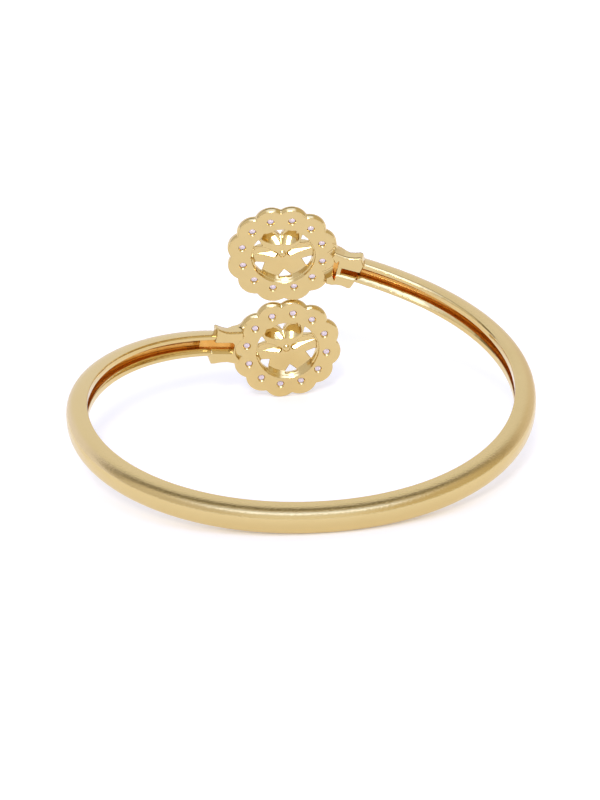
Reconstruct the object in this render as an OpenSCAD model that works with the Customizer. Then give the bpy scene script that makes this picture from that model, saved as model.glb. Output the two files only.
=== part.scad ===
// Enamel cuff bracelet: an open, hollow-backed band whose two arms pass each other and end in twin flowers.
// Own frame while drawing: the plain front faces -Y, the flowers face +Y and +Z is up the wrist.
// The right arm climbs to the upper flower. The left arm is the same arm turned half round the Y axis.

/* [Band] */
// Outside width of the cuff, side to side
cuff_width = 64; // [62:0.5:66]
// Depth of the plain front half, from the widest place
front_depth = 29; // [28.5:0.1:29.5]
// Depth of the back half, to the line that the arms follow
back_depth = 27.5; // [27.3:0.1:27.7]
// Squareness of the cuff's outline, where 2 is an ellipse
outline_power = 2.04; // [2:0.01:2.08]
// Height of the band at the middle of the front
band_height = 3.85; // [3.7:0.05:4]
// Thickness of the band, from its crown to its lips
band_thick = 3; // [2.9:0.05:3.1]
// Squareness of the band's section, where 2 is an ellipse
section_power = 3; // [2.6:0.1:3.4]
// Share of its height and thickness that the band loses towards its ends
end_taper = 0.1; // [0.08:0.01:0.12]
// Rounding between the crown and the lips
lip_round = 0.4; // [0.3:0.05:0.5]
// Width of the slot between the lips
slot_width = 1.5; // [1.3:0.1:1.7]
// Depth of the lips before the hollow widens
lip_depth = 0.65; // [0.55:0.05:0.75]
// Thickness of the band's wall at the crown
wall_thick = 0.8; // [0.7:0.05:0.9]

/* [Flowers] */
// Height of the upper flower's middle above the middle of the front
flower_rise = 7.92; // [7.92:0.02:8.1]
// Distance from the middle of the cuff to the backs of the flowers
flower_reach = 25.27; // [25.17:0.05:25.37]
// Lean of the upper flower's top edge towards the wrist, in degrees
flower_lean = 3.2; // [2.6:0.2:3.6]
// Turn of each flower towards its own arm, in degrees
flower_turn = 2; // [1.5:0.5:2.5]
// Turn of the two flowers against each other in their own planes, in degrees
flower_spin = 2; // [1:0.5:3]
// Thickness of the scalloped plate
plate_thick = 1.2; // [1.15:0.05:1.3]
// Radius of the circle that the rim stones sit on
stone_circle = 5.8; // [5.7:0.05:5.85]
// Radius from a flower's middle to the tip of a lobe
lobe_tip = 7.87; // [7.8:0.01:7.9]
// Angle of the first lobe, counted from the level line
lobe_turn = 11.4; // [10:0.2:13]
// Radius of a rim stone at its girdle
stone_radius = 1.2; // [1.1:0.05:1.2]
// Radius of the sight hole behind a stone
sight_radius = 0.45; // [0.35:0.05:0.5]
// Radius of the hollow behind the petals
hollow_radius = 4.45; // [4.4:0.05:4.5]
// Angle of the first opening between two petals
opening_turn = 22.5; // [20:0.5:25]
// Thickness of the enamel on a petal
enamel_thick = 0.3; // [0.25:0.05:0.35]

/* [Collars] */
// Half height of a collar at its ears
ear_height = 2.85; // [2.75:0.05:2.95]
// Half height of a collar at its waist
waist_height = 2.5; // [2.4:0.05:2.6]
// Thickness of a collar
collar_thick = 1.4; // [1.35:0.05:1.5]

/* [Hidden] */
// Small clearance between a piece and its seat, and the overlap that keeps a cut clean
gap = 0.03;
past = 0.5;
petals = 6;
lobes = 12;

function stone_name(side, i) = str("rim_stone_", side, "_", i < 9 ? "0" : "", i + 1);
function petal_name(side, i) = str("enamel_petal_", side, "_", i + 1);

// Where the cuff rests: tipped back onto the lower flower, then moved so that its box stands on the origin
rest_tip = 14.77;
rest_roll = 0.48;
rest_shift = [0.002, -0.638, 8.833];

// The band's line. Turn 0 is the middle of the front, +180 the right arm's way to the middle of the back
band_end = 168;
ring_count = 77;
slow_rise = 6.87;
fast_rise = 1.29;
function curve(v, power) = sign(v) * pow(abs(v), 2 / power);
function share(turn) = abs(turn) / 180;
function crown(turn) = [
    cuff_width / 2 * curve(sin(turn), outline_power),
    -(abs(turn) < 90 ? front_depth : back_depth) * curve(cos(turn), outline_power),
    sign(turn) * (slow_rise * pow(share(turn), 3) + fast_rise * pow(share(turn), 6))
];
function unit(v) = v / norm(v);
function outward(turn) =
    let (step = 0.01, way = crown(turn + step) - crown(turn - step))
    unit([way[1], -way[0], 0]);
function scale_at(turn) = 1 - end_taper * pow(share(turn), 2);
// The crown sinks a little over the last stretch, where the band runs into its flower
sink_from = 157;
sink_depth = 0.7;
function sink(turn) = sink_depth * pow(max(0, (abs(turn) - sink_from) / (band_end - sink_from)), 2);

// One section of the band as pairs [inward, up], once round the outside and once round the hollow
half_height = band_height / 2;
dome_steps = 5;
function dome(depth, height, k) =
    let (a = 90 * k / dome_steps)
    [depth * (1 - pow(cos(a), 2 / section_power)), height * pow(sin(a), 2 / section_power)];
corner = lip_round * (1 - sqrt(0.5));
outer_half = concat(
    [for (k = [0:dome_steps]) dome(band_thick - lip_round, half_height, k)],
    [[band_thick - corner, half_height - corner], [band_thick, half_height - lip_round]]
);
side_wall = wall_thick - 0.05;
lip_slope = 0.1;
hollow_height = half_height - side_wall;
hollow_depth = band_thick - lip_depth - wall_thick - lip_slope;
inner_half = concat(
    [for (k = [0:dome_steps]) dome(hollow_depth, hollow_height, k) + [wall_thick, 0]],
    [[band_thick - lip_depth, slot_width / 2], [band_thick, slot_width / 2]]
);
half_count = len(outer_half);
side_count = 2 * half_count - 1;
ring_size = 2 * side_count;
function both_halves(half) = [
    for (i = [1 - half_count:half_count - 1])
    [half[abs(i)][0], sign(i) * half[abs(i)][1]]
];
section = concat(both_halves(outer_half), both_halves(inner_half));

function ring_turn(j) = band_end * (2 * j / (ring_count - 1) - 1);
function section_point(turn, p) =
    let (size = scale_at(turn), lips = band_thick * size)
    let (inward = lips - (lips - p[0] * size) * (1 - sink(turn) / lips))
    crown(turn) - outward(turn) * inward + [0, 0, p[1] * size];

module band() {
    points = [for (j = [0:ring_count - 1]) for (p = section) section_point(ring_turn(j), p)];
    outside = [for (j = [0:ring_count - 2]) for (i = [0:side_count - 2])
        let (a = j * ring_size + i, b = a + ring_size)
        each [[a, a + 1, b + 1], [a, b + 1, b]]];
    inside = [for (j = [0:ring_count - 2]) for (i = [0:side_count - 2])
        let (a = j * ring_size + side_count + i, b = a + ring_size)
        each [[a, b + 1, a + 1], [a, b, b + 1]]];
    lips = [for (j = [0:ring_count - 2])
        let (a = j * ring_size, c = a + side_count, e = c - 1, f = e + side_count)
        each [
            [a, a + ring_size, c + ring_size], [a, c + ring_size, c],
            [e, f + ring_size, e + ring_size], [e, f, f + ring_size]
        ]];
    start = [for (i = [0:side_count - 2])
        let (a = i, c = i + side_count)
        each [[a, c, c + 1], [a, c + 1, a + 1]]];
    last = (ring_count - 1) * ring_size;
    finish = [for (i = [0:side_count - 2])
        let (a = last + i, c = a + side_count)
        each [[a, c + 1, c], [a, a + 1, c + 1]]];
    polyhedron(points, concat(outside, inside, lips, start, finish));
}

// A terminal is drawn for the right arm and turned half round the Y axis for the left one
sides = ["upper", "lower"];
module on_side(side) {
    rotate([0, side == "upper" ? 0 : 180, 0]) children();
}

// Lays a flower drawn face up on z = 0 with its back towards the wrist
flower_aside = -0.29;
module at_flower(side) {
    on_side(side)
    translate([flower_aside, flower_reach, flower_rise])
    rotate([0, 0, -flower_turn])
    rotate([flower_lean, 0, 0])
    rotate([90, 0, 180])
    rotate(side == "upper" ? flower_spin : -flower_spin)
    children();
}

lobe_radius = 2.45;
core_radius = 6;
module lobed_outline(inset) {
    circle(r = core_radius - inset, $fn = 96);
    for (i = [0:lobes - 1])
        rotate(lobe_turn + i * 360 / lobes)
        translate([lobe_tip - lobe_radius, 0])
        circle(r = lobe_radius - inset, $fn = 48);
}

// The plate's rim is rounded: it steps in a little at the back and twice at the front
back_step = 0.12;
back_inset = 0.2;
rim_height = 0.55;
shoulder_height = 0.85;
shoulder_inset = 0.3;
face_inset = 0.55;
module plate() {
    linear_extrude(back_step) lobed_outline(back_inset);
    translate([0, 0, back_step]) linear_extrude(rim_height - back_step) lobed_outline(0);
    translate([0, 0, rim_height]) linear_extrude(shoulder_height - rim_height) lobed_outline(shoulder_inset);
    translate([0, 0, shoulder_height]) linear_extrude(plate_thick - shoulder_height) lobed_outline(face_inset);
}

// A lemon is an arc turned about a level axis that points out of the flower's middle
petal_arc = 2.3;
petal_width = 1.35;
petal_middle = 2.65;
web_height = 1;
petal_base = plate_thick - 0.02;
module lemon(arc, width, height) {
    translate([petal_middle, 0, height])
    rotate([0, 90, 0])
    rotate_extrude($fn = 48)
    intersection() {
        translate([width - arc, 0]) circle(r = arc, $fn = 96);
        translate([0, -arc]) square([arc, 2 * arc]);
    }
}

// The outline of an enamel cell is a lens between two arcs
cell_arc = 1.95;
cell_width = 1.1;
cell_middle = 2.7;
module cell_outline(margin) {
    translate([cell_middle, 0])
    intersection() {
        translate([0, cell_arc - cell_width]) circle(r = cell_arc + margin, $fn = 96);
        translate([0, cell_width - cell_arc]) circle(r = cell_arc + margin, $fn = 96);
    }
}

module petal_place(i) {
    rotate(opening_turn + 30 + i * 360 / petals) children();
}

cell_floor = enamel_thick + gap;
cell_clear = 2;
module petal_gold() {
    difference() {
        lemon(petal_arc, petal_width, petal_base);
        difference() {
            translate([0, 0, petal_base + cell_floor]) linear_extrude(cell_clear) cell_outline(gap);
            lemon(petal_arc - cell_floor, petal_width - cell_floor, petal_base);
        }
    }
}

module petal_enamel() {
    difference() {
        intersection() {
            lemon(petal_arc, petal_width, petal_base);
            translate([0, 0, petal_base + cell_floor + gap]) linear_extrude(cell_clear) cell_outline(0);
        }
        lemon(petal_arc - enamel_thick, petal_width - enamel_thick, petal_base);
    }
}

// Each petal is hollow from behind, with thin ridges left between the hollows
hollow_arc = 2.1;
hollow_width = 1.1;
hollow_level = 0.85;
hollow_aside = 0.1;
module petal_hollow() {
    translate([-hollow_aside, 0, 0]) lemon(hollow_arc, hollow_width, hollow_level);
}

// A curved triangle between two petals, cut right through
opening_start = 3.05;
opening_end = 4.3;
opening_reach = 5;
opening_half = 1.55;
opening_high = 4;
module petal_opening() {
    translate([0, 0, -past])
    linear_extrude(opening_high)
    intersection() {
        circle(r = opening_end, $fn = 96);
        polygon([[opening_start, 0], [opening_reach, opening_half], [opening_reach, -opening_half]]);
    }
}

seat_depth = 0.85;
seat_radius = stone_radius + 0.05;
module stone_seat() {
    translate([stone_circle, 0, -past]) cylinder(h = past + plate_thick, r = sight_radius, $fn = 32);
    translate([stone_circle, 0, plate_thick - seat_depth])
    cylinder(h = seat_depth, r1 = sight_radius - 0.01, r2 = seat_radius, $fn = 48);
    translate([stone_circle, 0, plate_thick - 0.02])
    cylinder(h = 1, r = seat_radius, $fn = 48);
}

// Beads raised between neighbouring stones hold their edges
bead_radius = 0.33;
bead_circles = [stone_circle - 0.75, stone_circle + 0.32];
bead_rise = 0.05;
module holding_beads() {
    for (r = bead_circles)
        rotate(180 / lobes)
        translate([r, 0, plate_thick + bead_rise])
        sphere(r = bead_radius, $fn = 24);
}

// A bead covers the petals' inner tips, and a boss backs it
centre_radius = 0.85;
centre_height = 1.95;
boss_radius = 0.65;
boss_from = 0.75;
boss_to = 1.35;
ledge_radius = 4.75;
ledge_depth = 0.35;
module flower_casting() {
    difference() {
        union() {
            plate();
            for (i = [0:petals - 1]) petal_place(i) petal_gold();
            translate([0, 0, centre_height]) sphere(r = centre_radius, $fn = 48);
            for (i = [0:lobes - 1]) rotate(lobe_turn + i * 360 / lobes) holding_beads();
        }
        translate([0, 0, -past]) cylinder(h = past + ledge_depth, r = ledge_radius, $fn = 96);
        translate([0, 0, -past]) cylinder(h = past + web_height, r = hollow_radius, $fn = 96);
        for (i = [0:petals - 1]) {
            petal_place(i) petal_hollow();
            petal_place(i + 0.5) petal_opening();
        }
        for (i = [0:lobes - 1]) rotate(lobe_turn + i * 360 / lobes) stone_seat();
    }
    translate([0, 0, boss_from]) cylinder(h = boss_to - boss_from, r = boss_radius, $fn = 32);
}

// Lays a collar drawn along +X, with its back face on z = 0 and the wrist at +Z, on the band's lips
collar_at = 164;
collar_slope = 12;
collar_proud = 0.1;
collar_drop = 0.15;
module at_collar(side) {
    lips = crown(collar_at) - outward(collar_at) * (band_thick * scale_at(collar_at) + collar_proud);
    out = outward(collar_at);
    on_side(side)
    translate(lips)
    rotate([0, 0, -atan2(out[0], out[1])])
    rotate([0, collar_slope, 0])
    rotate([90, 0, 0])
    translate([0, side == "upper" ? -collar_drop : collar_drop, 0])
    children();
}

// Both long sides of a collar are hollowed by one arc, so that its far corners stand out as ears.
// Towards the flower it slopes down to the plate's back.
waist_arc = 4;
waist_middle = -0.4;
ear_round = 0.25;
collar_start = -3.1;
slope_start = -1.6;
collar_end = 1.6;
slope_drop = 1.15;
module collar_outline() {
    difference() {
        polygon([
            [collar_start, -ear_height], [collar_end - ear_round, -ear_height],
            [collar_end, ear_round - ear_height], [collar_end, ear_height - ear_round],
            [collar_end - ear_round, ear_height], [collar_start, ear_height]
        ]);
        for (up = [-1, 1])
            translate([waist_middle, up * (waist_height + waist_arc)]) circle(r = waist_arc, $fn = 96);
        translate([collar_start - past, -mouth_half]) square([mouth_edge - collar_start + past, 2 * mouth_half]);
    }
}

// A root under the mouth joins the plate to the band's end
root_start = -1.95;
root_end = -0.55;
root_low = 1.9;
root_high = 1.2;
root_half = 1.35;
module collar_root() {
    translate([root_start, -root_half, -root_low])
    cube([root_end - root_start, 2 * root_half, root_low - root_high]);
}

slope_thick = 0.3;
knee_extra = 0.45;
module collar_blank() {
    collar_root();
    intersection() {
        translate([0, 0, -2 * collar_thick]) linear_extrude(2 * collar_thick) collar_outline();
        rotate([90, 0, 0])
        translate([0, 0, -ear_height - past])
        linear_extrude(2 * (ear_height + past))
        polygon([
            [collar_end, 0], [slope_start, 0], [collar_start, -slope_drop],
            [collar_start, -slope_drop - slope_thick], [slope_start, -collar_thick - knee_extra],
            [0, -collar_thick], [collar_end, -collar_thick]
        ]);
    }
}

// The band's slot runs on through the collar and opens into a round mouth beside the flower
mouth_half = 1.3;
mouth_radius = 1.45;
mouth_middle = -0.75;
mouth_edge = -1.15;
mouth_deep = 1.6;
slot_deep = 1.45;
dam_thick = 0.3;
dam_drop = 0.5;
module collar_cut() {
    translate([mouth_edge + dam_thick, -slot_width / 2, -slot_deep])
    cube([collar_end - mouth_edge + past, slot_width, slot_deep + past]);
    translate([mouth_edge - past, -slot_width / 2, -dam_drop])
    cube([2 * past + dam_thick, slot_width, dam_drop + past]);
    translate([0, 0, -mouth_deep])
    intersection() {
        translate([mouth_middle, 0, 0]) cylinder(h = mouth_deep + past, r = mouth_radius, $fn = 48);
        translate([mouth_edge - 2 * mouth_radius, -2 * mouth_radius, 0])
        cube([2 * mouth_radius, 4 * mouth_radius, mouth_deep + past]);
    }
}

// The band's end is cut down to the plate's back between the collar's corners
trim_from = 6;
trim_to = 7.9;
trim_half = 2.2;
trim_level = 0.05;
trim_high = 3;
module end_trim() {
    rotate(180 + collar_slope)
    translate([trim_from, -trim_half, trim_level - trim_high])
    cube([trim_to - trim_from, 2 * trim_half, trim_high]);
}

module in_rest() {
    translate(rest_shift)
    rotate([rest_tip, rest_roll, 0])
    children();
}

module gold_cuff() {
    color([0.86, 0.72, 0.45])
    in_rest()
    difference() {
        union() {
            difference() {
                band();
                for (side = sides) at_flower(side) end_trim();
            }
            for (side = sides) {
                at_collar(side) collar_blank();
                at_flower(side) flower_casting();
            }
        }
        for (side = sides) at_collar(side) collar_cut();
    }
}

module enamel_petal(side, i) {
    color([0.95, 0.9, 0.86])
    in_rest() at_flower(side) petal_place(i) petal_enamel();
}

// A stone has an eight-sided table, sixteen crown facets, a girdle and sixteen pavilion facets
crown_height = 0.42;
pavilion_depth = 0.85;
girdle_thick = 0.08;
table_radius = 0.7;
culet_radius = 0.06;
stone_proud = 0.02;
facets = 8;
module cut_stone() {
    function level(r, z, turn) = [
        for (k = [0:facets - 1])
        [r * cos(turn + k * 360 / facets), r * sin(turn + k * 360 / facets), z]
    ];
    function belt(low, high) = [
        for (k = [0:facets - 1])
        let (n = (k + 1) % facets)
        each [[low + k, high + k, low + n], [high + k, high + n, low + n]]
    ];
    half_step = 180 / facets;
    points = concat(
        level(culet_radius, -pavilion_depth, half_step),
        level(stone_radius, 0, 0),
        level(stone_radius, girdle_thick, 0),
        level(table_radius, girdle_thick + crown_height, half_step)
    );
    low_belt = [
        for (k = [0:facets - 1])
        let (n = (k + 1) % facets)
        each [[k, facets + n, n], [k, facets + k, facets + n]]
    ];
    culet = [for (k = [1:facets - 2]) [0, k, k + 1]];
    table = [for (k = [1:facets - 2]) [3 * facets, 3 * facets + k + 1, 3 * facets + k]];
    polyhedron(points, concat(culet, low_belt, belt(facets, 2 * facets), belt(2 * facets, 3 * facets), table));
}

module rim_stone(side, i) {
    color([0.93, 0.9, 0.93])
    in_rest() at_flower(side)
    rotate(lobe_turn + i * 360 / lobes)
    translate([stone_circle, 0, plate_thick + stone_proud])
    cut_stone();
}

gold_cuff();
for (side = sides) {
    for (i = [0:petals - 1])
        enamel_petal(side, i);
    for (i = [0:lobes - 1])
        rim_stone(side, i);
}
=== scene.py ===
import itertools
import math

import bpy
import numpy as np
from mathutils import Matrix, Vector


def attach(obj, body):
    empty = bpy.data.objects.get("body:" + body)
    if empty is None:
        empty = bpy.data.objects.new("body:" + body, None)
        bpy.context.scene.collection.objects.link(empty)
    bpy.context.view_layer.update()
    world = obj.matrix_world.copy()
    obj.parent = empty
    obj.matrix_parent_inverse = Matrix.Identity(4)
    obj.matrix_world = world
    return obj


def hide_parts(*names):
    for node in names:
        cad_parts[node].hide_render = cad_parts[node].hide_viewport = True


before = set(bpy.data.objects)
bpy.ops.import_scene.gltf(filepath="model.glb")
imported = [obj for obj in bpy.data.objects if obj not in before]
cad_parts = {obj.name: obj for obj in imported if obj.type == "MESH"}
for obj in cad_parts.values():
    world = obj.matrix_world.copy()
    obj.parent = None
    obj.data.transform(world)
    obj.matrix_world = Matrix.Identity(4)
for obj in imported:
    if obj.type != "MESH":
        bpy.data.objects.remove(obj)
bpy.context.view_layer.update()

# Enamel cuff bracelet. Lengths are millimetres in the cuff's own frame, where the plain front faces -Y,
# the flowers face +Y and +Z is up the wrist, until a piece is laid where the cuff rests, in metres.

MM_PER_METRE = 1000

# The band, as in the part's source
CUFF_WIDTH = 64.0
FRONT_DEPTH = 29.0
BACK_DEPTH = 27.5
OUTLINE_POWER = 2.04
BAND_HEIGHT = 3.85
BAND_THICK = 3.0
SECTION_POWER = 3.0
END_TAPER = 0.1
SLOT_WIDTH = 1.5
LIP_DEPTH = 0.65
WALL_THICK = 0.8
SIDE_WALL = 0.75
LIP_SLOPE = 0.1
BAND_END = 168.0
SLOW_RISE = 6.87
FAST_RISE = 1.29
SINK_FROM = 157.0
SINK_DEPTH = 0.7

# The flowers
FLOWER_RISE = 7.92
FLOWER_REACH = 25.27
FLOWER_ASIDE = -0.29
FLOWER_LEAN = 3.2
FLOWER_TURN = 2.0
FLOWER_SPIN = 2.0
PLATE_THICK = 1.2
STONE_CIRCLE = 5.8
LOBE_TIP = 7.87
LOBE_RADIUS = 2.45
LOBE_TURN = 11.4
LOBES = 12
CORE_RADIUS = 6.0
STONE_RADIUS = 1.2
SIGHT_RADIUS = 0.45
PETALS = 6
OPENING_TURN = 22.5
PETAL_BASE = PLATE_THICK - 0.02
PETAL_MIDDLE = 2.65

# The collars
COLLAR_THICK = 1.4
COLLAR_AT = 164.0
COLLAR_SLOPE = 12.0
COLLAR_PROUD = 0.1
COLLAR_DROP = 0.15

# Where the cuff rests
REST_TIP = 14.77
REST_ROLL = 0.48
REST_SHIFT = (0.002, -0.638, 8.833)


def turned(axis, degrees):
    return Matrix.Rotation(math.radians(degrees), 4, axis)


def moved(x, y, z):
    return Matrix.Translation((x, y, z))


AT_REST = (
    Matrix.Scale(1 / MM_PER_METRE, 4)
    @ moved(*REST_SHIFT)
    @ turned("Y", REST_ROLL)
    @ turned("X", REST_TIP)
)


def placed(points, matrix):
    m = np.array(matrix)
    return points @ m[:3, :3].T + m[:3, 3]


# Line of the band
def curve(v, power):
    return np.sign(v) * np.abs(v) ** (2 / power)


def crown(turn):
    """Points on the band's outer line. Turn 0 is the middle of the front, +180 the right arm's way round."""
    a = np.radians(turn)
    share = np.abs(turn) / 180
    depth = np.where(np.abs(turn) < 90, FRONT_DEPTH, BACK_DEPTH)
    x = CUFF_WIDTH / 2 * curve(np.sin(a), OUTLINE_POWER)
    y = -depth * curve(np.cos(a), OUTLINE_POWER)
    z = np.sign(turn) * (SLOW_RISE * share**3 + FAST_RISE * share**6)
    return np.stack([x, y, z], axis=-1)


def outward(turn):
    step = 0.01
    way = crown(turn + step) - crown(turn - step)
    out = np.stack([way[..., 1], -way[..., 0], 0 * way[..., 0]], axis=-1)
    return out / np.linalg.norm(out, axis=-1, keepdims=True)


def scale_at(turn):
    return 1 - END_TAPER * (np.abs(turn) / 180) ** 2


def sink(turn):
    return SINK_DEPTH * (np.maximum(0, np.abs(turn) - SINK_FROM) / (BAND_END - SINK_FROM)) ** 2


def arc_points(centre, radius, start, end, count):
    a = np.radians(np.linspace(start, end, count))
    return [(centre[0] + radius * math.cos(t), centre[1] + radius * math.sin(t)) for t in a]


def dome_points(depth, height, shift, count):
    a = np.radians(np.linspace(0, 90, count))
    inward = depth * (1 - np.cos(a) ** (2 / SECTION_POWER)) + shift
    up = height * np.sin(a) ** (2 / SECTION_POWER)
    return list(zip(inward, up))


def evenly(points, count):
    """The same line through points at even steps."""
    points = np.array(points, float)
    along = np.concatenate([[0], np.cumsum(np.linalg.norm(np.diff(points, axis=0), axis=1))])
    steps = np.linspace(0, along[-1], count)
    return np.stack([np.interp(steps, along, points[:, k]) for k in range(2)], axis=1)


# Near the flowers the lips' edges are bevelled, and at the sides and in front they are sharp
BEVEL_SLANT = 54.75
BEVEL_FROM = 106.0
BEVEL_TO = 140.0
SOFT_EDGES = {
    "lip_round": 0.4, "edge_round": 0.26, "lip_bevel": 0.24, "slot_bevel": 0.72, "slot_round": 0.06,
}
SHARP_EDGES = {
    "lip_round": 0.16, "edge_round": 0.1, "lip_bevel": 0.02, "slot_bevel": 0.06, "slot_round": 0.04,
}
RINGS = 301
DOME_POINTS = 80
OUTER_POINTS = 24
HOLLOW_POINTS = 60
INNER_POINTS = 18
EDGE_POINTS = 6
LIP_POINTS = 5
SLOT_POINTS = 4
# Faces in the channel take the gold with painted bounce light.
SATIN_FACE, LIP_FACE, CHANNEL_FACE = 0, 1, 2


def band_section(lip_round, edge_round, lip_bevel, slot_bevel, slot_round):
    """Half of the band's section as pairs (inward, up), and the finish of each step between them."""
    half = BAND_HEIGHT / 2
    slot = SLOT_WIDTH / 2
    sin, cos = math.sin(math.radians(BEVEL_SLANT)), math.cos(math.radians(BEVEL_SLANT))
    corner = BAND_THICK - lip_round
    outer = evenly(dome_points(corner, half, 0, DOME_POINTS), OUTER_POINTS)
    first = arc_points((corner, half - edge_round), edge_round, 90, BEVEL_SLANT, EDGE_POINTS)
    end = (first[-1][0] + lip_bevel * sin, first[-1][1] - lip_bevel * cos)
    radius = (BAND_THICK - end[0]) / (1 - cos)
    second = arc_points((end[0] - radius * cos, end[1] - radius * sin), radius, BEVEL_SLANT, 0, LIP_POINTS)
    top = slot + slot_bevel * cos + slot_round
    third = arc_points((BAND_THICK - slot_round, top), slot_round, 0, -BEVEL_SLANT, SLOT_POINTS)
    wall = BAND_THICK - slot_bevel * sin - slot_round
    fourth = arc_points((wall, slot + slot_round), slot_round, -BEVEL_SLANT, -90, SLOT_POINTS)
    lip_in = BAND_THICK - LIP_DEPTH - 2 * slot_round
    under = arc_points((lip_in + slot_round, slot + slot_round), slot_round, -90, -180, SLOT_POINTS)
    hollow = dome_points(lip_in - WALL_THICK - LIP_SLOPE, half - SIDE_WALL, WALL_THICK, HOLLOW_POINTS)
    inner = evenly(hollow, INNER_POINTS)[::-1]
    points = np.concatenate([outer, first[1:], second, third, fourth, under, inner])
    satin = len(outer) - 1
    lips = len(outer) + len(first) + len(second) + len(third)
    kinds = np.full(len(points) - 1, CHANNEL_FACE)
    kinds[:lips] = LIP_FACE
    kinds[:satin] = SATIN_FACE
    return points, kinds


def band_mesh():
    """The swept band: a closed loop of section points on every ring, with capped ends."""
    soft, kinds = band_section(**SOFT_EDGES)
    sharp = band_section(**SHARP_EDGES)[0]
    turn = np.linspace(-BAND_END, BAND_END, RINGS)[:, None]
    softness = np.clip((np.abs(turn) - BEVEL_FROM) / (BEVEL_TO - BEVEL_FROM), 0, 1)[..., None]
    half = sharp + (soft - sharp) * softness
    loop = np.concatenate([half[:, ::-1] * (1, -1), half[:, 1:-1]], axis=1)
    size = scale_at(turn)
    lips = BAND_THICK * size
    inward = lips - (lips - loop[..., 0] * size) * (1 - sink(turn) / lips)
    up = loop[..., 1] * size
    line = crown(turn[:, 0])[:, None, :]
    out = outward(turn[:, 0])[:, None, :]
    points = line - out * inward[..., None]
    points[..., 2] += up
    count = loop.shape[1]
    first = np.arange(RINGS - 1)[:, None] * count + np.arange(count)
    after = np.arange(RINGS - 1)[:, None] * count + (np.arange(count) + 1) % count
    faces = np.stack([first, first + count, after + count, after], axis=-1).reshape(-1, 4)
    round_loop = np.concatenate([kinds[::-1], kinds])
    last = (RINGS - 1) * count
    caps = [list(range(count)), list(range(last, last + count))[::-1]]
    finishes = np.concatenate([np.tile(round_loop, RINGS - 1), [LIP_FACE, LIP_FACE]])
    return points.reshape(-1, 3), faces.tolist() + caps, finishes


# Rounded castings: each is a field that is negative inside the metal, meshed where it crosses zero
def soft_min(a, b, k):
    h = np.maximum(k - np.abs(a - b), 0) / k
    return np.minimum(a, b) - h * h * k / 4


def soft_max(a, b, k):
    return -soft_min(-a, -b, k)


def folded(r, degrees, step):
    """The same point seen from the nearest of the rays that lie every step degrees."""
    a = np.radians(degrees - step * np.round(degrees / step))
    return r * np.cos(a), r * np.sin(a)


def rounded_slab(outline, z, low, high, radius_low, radius_high):
    middle = (low + high) / 2
    radius = np.where(z < middle, radius_low, radius_high)
    side = outline + radius
    end = np.abs(z - middle) - (high - low) / 2 + radius
    return np.hypot(np.maximum(side, 0), np.maximum(end, 0)) + np.minimum(np.maximum(side, end), 0) - radius


def lemon_field(x, y, z, arc, width, height):
    """An arc turned about a level axis that points out of the flower's middle."""
    return np.hypot(x - PETAL_MIDDLE, np.hypot(y, z - height) + arc - width) - arc


def lens_field(x, y, arc, width, middle):
    return np.hypot(x - middle, np.abs(y) + arc - width) - arc


def polygon_field(x, y, corners):
    """Signed distance to a closed outline."""
    near = np.full(x.shape, np.inf)
    inside = np.zeros(x.shape, bool)
    for (ax, ay), (bx, by) in zip(corners, corners[1:] + corners[:1]):
        ex, ey = bx - ax, by - ay
        t = np.clip(((x - ax) * ex + (y - ay) * ey) / (ex * ex + ey * ey), 0, 1)
        near = np.minimum(near, np.hypot(x - ax - t * ex, y - ay - t * ey))
        if ay != by:
            crosses = ((ay > y) != (by > y)) & (x < ex * (y - ay) / ey + ax)
            inside ^= crosses
    return np.where(inside, -near, near)


def skin(field, low, high, step):
    """Points, four-sided faces and normals of the surface where field(points) crosses zero."""
    counts = [int(round((b - a) / step)) + 1 for a, b in zip(low, high)]
    axes = [a + step * np.arange(n) for a, n in zip(low, counts)]
    grid = np.stack(np.meshgrid(*axes, indexing="ij"), axis=-1)
    value = field(grid.reshape(-1, 3)).reshape(counts)
    total = np.zeros([n - 1 for n in counts] + [3])
    count = np.zeros([n - 1 for n in counts])
    quads = []
    for axis in range(3):
        u, v = (axis + 1) % 3, (axis + 2) % 3
        start = value.take(np.arange(counts[axis] - 1), axis)
        end = value.take(np.arange(1, counts[axis]), axis)
        cross = np.argwhere((start < 0) != (end < 0))
        where = tuple(cross.T)
        place = cross.astype(float)
        place[:, axis] += start[where] / (start[where] - end[where])
        ring = []
        for du, dv in ((1, 1), (0, 1), (0, 0), (1, 0)):
            cell = cross.copy()
            cell[:, u] -= du
            cell[:, v] -= dv
            np.add.at(total, tuple(cell.T), place)
            np.add.at(count, tuple(cell.T), 1)
            ring.append(cell)
        leaving = start[where] < 0
        ring = np.stack(ring, axis=1)
        quads.append(np.where(leaving[:, None, None], ring, ring[:, ::-1]))
    used = count > 0
    index = np.full(count.shape, -1)
    index[used] = np.arange(used.sum())
    points = np.array(low) + step * total[used] / count[used][:, None]
    cells = np.concatenate(quads)
    faces = index[tuple(np.moveaxis(cells, -1, 0))]
    for _ in range(2):
        points -= slope(field, points) * np.clip(field(points), -step / 2, step / 2)[:, None]
    return points, faces.tolist(), slope(field, points)


def slope(field, points):
    """The field's unit gradient at some points."""
    reach = 0.02
    way = np.stack([field(points + d) - field(points - d) for d in reach * np.eye(3)], axis=-1)
    return way / np.maximum(np.linalg.norm(way, axis=-1, keepdims=True), 1e-9)


# Flower casting, drawn face up with its back on z = 0. Its back's rim is bevelled, most at the top.
CAST_ROUND = 0.1
FINE_ROUND = CAST_ROUND / 2
BACK_ROUND = 0.12
FRONT_ROUND = 0.55
BEVEL_HEIGHT = 0.45
BEVEL_MIDDLE = 0.5
BEVEL_CHANGE = 0.6
LEAST_BEVEL = 0.1
RIM_GROWTH = 0.2
VALLEY_ROUND = 0.15
LOBE_STEP = 360 / LOBES

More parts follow.
